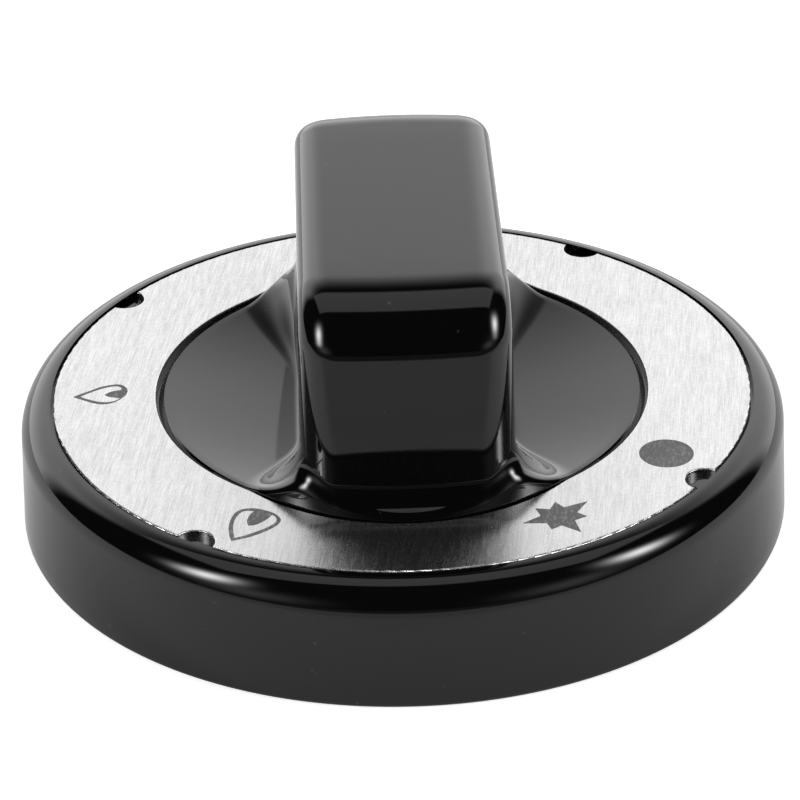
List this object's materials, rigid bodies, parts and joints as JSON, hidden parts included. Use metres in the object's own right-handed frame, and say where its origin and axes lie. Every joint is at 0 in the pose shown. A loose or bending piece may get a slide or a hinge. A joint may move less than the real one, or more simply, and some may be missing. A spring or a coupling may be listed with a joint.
{
  "type": "gas hob knob",
  "caption": "Round push-on control knob with a raised grip bar, a drafted skirt, a flat metal legend ring and a D spindle socket.",
  "frame": {"origin": "centre of the open base circle, on the turning axis, at the plane the skirt's edge rests on", "axes": "+Z along the turning axis, out of the hob towards the user; the grip bar runs along Y; the flat of the spindle socket faces +X"},
  "size_m": [0.06, 0.06, 0.0262],
  "materials": {
    "knob_body": "polished black thermoset moulding",
    "legend_ring": "brushed aluminium with grey printed signs",
    "spindle_clip": "plain spring steel"
  },
  "bodies": {
    "root": {"knob_body": "knob_body", "legend_ring": "legend_ring", "spindle_clip": "spindle_clip"}
  },
  "joints": []
}
